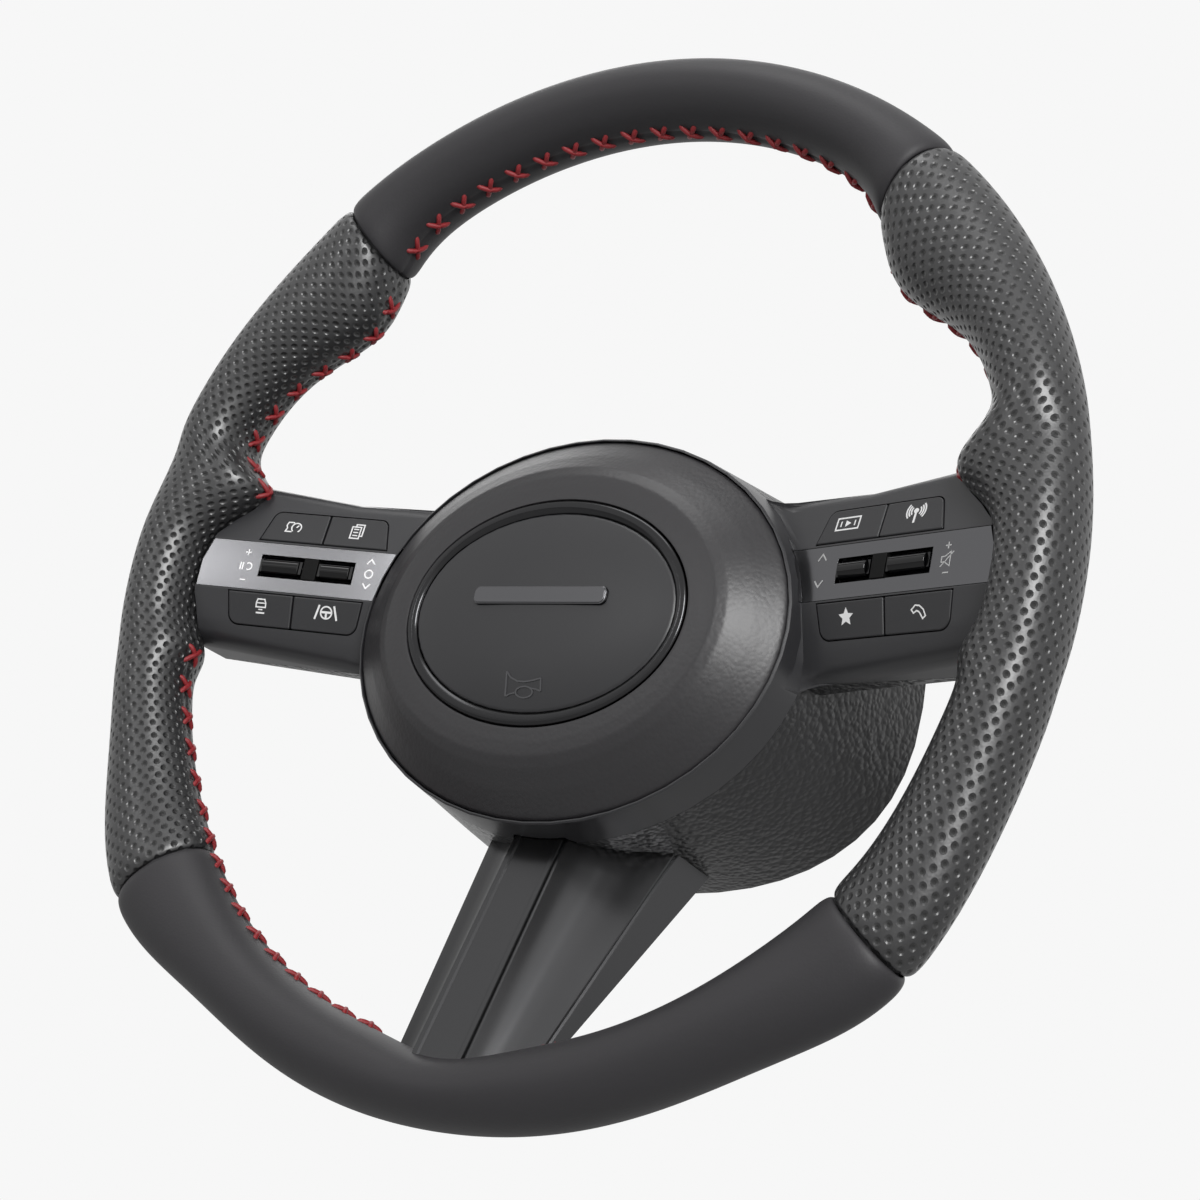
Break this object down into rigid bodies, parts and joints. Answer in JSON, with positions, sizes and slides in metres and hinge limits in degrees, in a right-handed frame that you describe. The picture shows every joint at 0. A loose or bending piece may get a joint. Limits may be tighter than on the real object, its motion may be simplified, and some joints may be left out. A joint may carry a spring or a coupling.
{
  "type": "car steering wheel",
  "caption": "Three-spoke leather car steering wheel with flattened corners, thumb rests, airbag cover that presses for the horn, spoke buttons and rocking toggles.",
  "frame": {"origin": "centre of the steering column bore in the hub's rear face", "axes": "+Y along the column bore, away from the driver; -Y towards the driver; +Z to twelve o'clock; +X to the driver's right"},
  "size_m": [0.37, 0.1049, 0.3794],
  "materials": {
    "casting": "die-cast magnesium or aluminium, as cast",
    "steel": "zinc-plated or plain steel",
    "foam": "moulded polyurethane foam",
    "smooth_leather": "smooth dark grey leather",
    "perforated_leather": "perforated dark grey leather",
    "bezel_plastic": "fine matt plastic",
    "grained_plastic": "pebble-grained plastic",
    "cover_plastic": "soft-touch plastic with a fine leather grain",
    "dark_satin_metal": "dark grey satin metallic paint",
    "satin_silver": "satin silver plating",
    "housing_plastic": "plain moulded plastic",
    "board": "green circuit board with rubber domes",
    "button_plastic": "matt black plastic with light printed icons",
    "gloss_black": "gloss black plastic",
    "dark_chrome": "dark satin chrome plating",
    "emblem_plastic": "satin black plastic",
    "inflator_metal": "stamped steel",
    "airbag_fabric": "folded woven fabric"
  },
  "bodies": {
    "wheel": {"armature": "casting", "hub_insert": "steel", "rim_foam": "foam", "leather_top": "smooth_leather", "leather_grip_left": "perforated_leather", "leather_grip_right": "perforated_leather", "leather_bottom": "smooth_leather", "front_bezel": "bezel_plastic", "rear_cover": "grained_plastic", "rear_cover_screws": "steel", "lower_spoke_trim": "dark_satin_metal", "lower_spoke_back": "grained_plastic", "trim_strip_left": "satin_silver", "trim_strip_right": "satin_silver", "switch_housing_left": "housing_plastic", "switch_housing_right": "housing_plastic", "switch_board_left": "board", "switch_board_right": "board", "toggle_divider_left": "gloss_black", "toggle_divider_right": "gloss_black", "horn_springs": "steel", "cradle_inner_right": "gloss_black"},
    "horn_pad": {"airbag_cover": "cover_plastic", "emblem_ring": "dark_chrome", "emblem_disc": "emblem_plastic", "emblem_bar": "satin_silver", "airbag_plate": "steel", "airbag_inflator": "inflator_metal", "airbag_cushion": "airbag_fabric", "horn_pins": "steel"},
    "upper_inner_button_left": {"upper_inner_button_left": "button_plastic"},
    "upper_outer_button_left": {"upper_outer_button_left": "button_plastic"},
    "lower_inner_button_left": {"lower_inner_button_left": "button_plastic"},
    "lower_outer_button_left": {"lower_outer_button_left": "button_plastic"},
    "toggle_inner_left": {"toggle_inner_left": "gloss_black"},
    "cradle_inner_left": {"cradle_inner_left": "gloss_black"},
    "toggle_outer_left": {"toggle_outer_left": "gloss_black"},
    "cradle_outer_left": {"cradle_outer_left": "gloss_black"},
    "upper_inner_button_right": {"upper_inner_button_right": "button_plastic"},
    "upper_outer_button_right": {"upper_outer_button_right": "button_plastic"},
    "lower_inner_button_right": {"lower_inner_button_right": "button_plastic"},
    "lower_outer_button_right": {"lower_outer_button_right": "button_plastic"},
    "toggle_inner_right": {"toggle_inner_right": "gloss_black"},
    "toggle_outer_right": {"toggle_outer_right": "gloss_black"},
    "cradle_outer_right": {"cradle_outer_right": "gloss_black"}
  },
  "joints": [
    {"name": "horn_press", "type": "slide", "parent": "wheel", "child": "horn_pad", "axis": [0, 1, 0], "range_m": [0, 0.002], "stiffness_N_per_m": 9000, "springref_m": -0.0015, "deforming": ["horn_springs"]},
    {"name": "press_upper_inner_button_left", "type": "slide", "parent": "wheel", "child": "upper_inner_button_left", "axis": [-0.2382, 0.9556, -0.1736], "range_m": [0, 0.0008], "stiffness_N_per_m": 3000, "springref_m": -0.0004},
    {"name": "press_upper_outer_button_left", "type": "slide", "parent": "wheel", "child": "upper_outer_button_left", "axis": [-0.2382, 0.9556, -0.1736], "range_m": [0, 0.0008], "stiffness_N_per_m": 3000, "springref_m": -0.0004},
    {"name": "press_lower_inner_button_left", "type": "slide", "parent": "wheel", "child": "lower_inner_button_left", "axis": [-0.2326, 0.9327, 0.2756], "range_m": [0, 0.0008], "stiffness_N_per_m": 3000, "springref_m": -0.0004},
    {"name": "press_lower_outer_button_left", "type": "slide", "parent": "wheel", "child": "lower_outer_button_left", "axis": [-0.2326, 0.9327, 0.2756], "range_m": [0, 0.0008], "stiffness_N_per_m": 3000, "springref_m": -0.0004},
    {"name": "press_cradle_inner_left", "type": "slide", "parent": "wheel", "child": "cradle_inner_left", "axis": [-0.2419, 0.9703, 0], "range_m": [0, 0.0008], "stiffness_N_per_m": 3500, "springref_m": -0.0004},
    {"name": "tilt_toggle_inner_left", "type": "hinge", "parent": "cradle_inner_left", "child": "toggle_inner_left", "pos_m": [-0.10449, -0.04679, 0.0023], "axis": [-0.9703, -0.2419, 0], "range_deg": [-8, 8], "stiffness_Nm_per_rad": 0.05},
    {"name": "press_cradle_outer_left", "type": "slide", "parent": "wheel", "child": "cradle_outer_left", "axis": [-0.2419, 0.9703, 0], "range_m": [0, 0.0008], "stiffness_N_per_m": 3500, "springref_m": -0.0004},
    {"name": "tilt_toggle_outer_left", "type": "hinge", "parent": "cradle_outer_left", "child": "toggle_outer_left", "pos_m": [-0.12574, -0.05209, 0.0023], "axis": [-0.9703, -0.2419, 0], "range_deg": [-8, 8], "stiffness_Nm_per_rad": 0.05},
    {"name": "press_upper_inner_button_right", "type": "slide", "parent": "wheel", "child": "upper_inner_button_right", "axis": [0.2382, 0.9556, -0.1736], "range_m": [0, 0.0008], "stiffness_N_per_m": 3000, "springref_m": -0.0004},
    {"name": "press_upper_outer_button_right", "type": "slide", "parent": "wheel", "child": "upper_outer_button_right", "axis": [0.2382, 0.9556, -0.1736], "range_m": [0, 0.0008], "stiffness_N_per_m": 3000, "springref_m": -0.0004},
    {"name": "press_lower_inner_button_right", "type": "slide", "parent": "wheel", "child": "lower_inner_button_right", "axis": [0.2326, 0.9327, 0.2756], "range_m": [0, 0.0008], "stiffness_N_per_m": 3000, "springref_m": -0.0004},
    {"name": "press_lower_outer_button_right", "type": "slide", "parent": "wheel", "child": "lower_outer_button_right", "axis": [0.2326, 0.9327, 0.2756], "range_m": [0, 0.0008], "stiffness_N_per_m": 3000, "springref_m": -0.0004},
    {"name": "tilt_toggle_inner_right", "type": "hinge", "parent": "wheel", "child": "toggle_inner_right", "pos_m": [0.10449, -0.04679, 0.0023], "axis": [0.9703, -0.2419, 0], "range_deg": [-8, 8], "stiffness_Nm_per_rad": 0.05},
    {"name": "press_cradle_outer_right", "type": "slide", "parent": "wheel", "child": "cradle_outer_right", "axis": [0.2419, 0.9703, 0], "range_m": [0, 0.0008], "stiffness_N_per_m": 3500, "springref_m": -0.0004},
    {"name": "tilt_toggle_outer_right", "type": "hinge", "parent": "cradle_outer_right", "child": "toggle_outer_right", "pos_m": [0.12574, -0.05209, 0.0023], "axis": [0.9703, -0.2419, 0], "range_deg": [-8, 8], "stiffness_Nm_per_rad": 0.05}
  ]
}
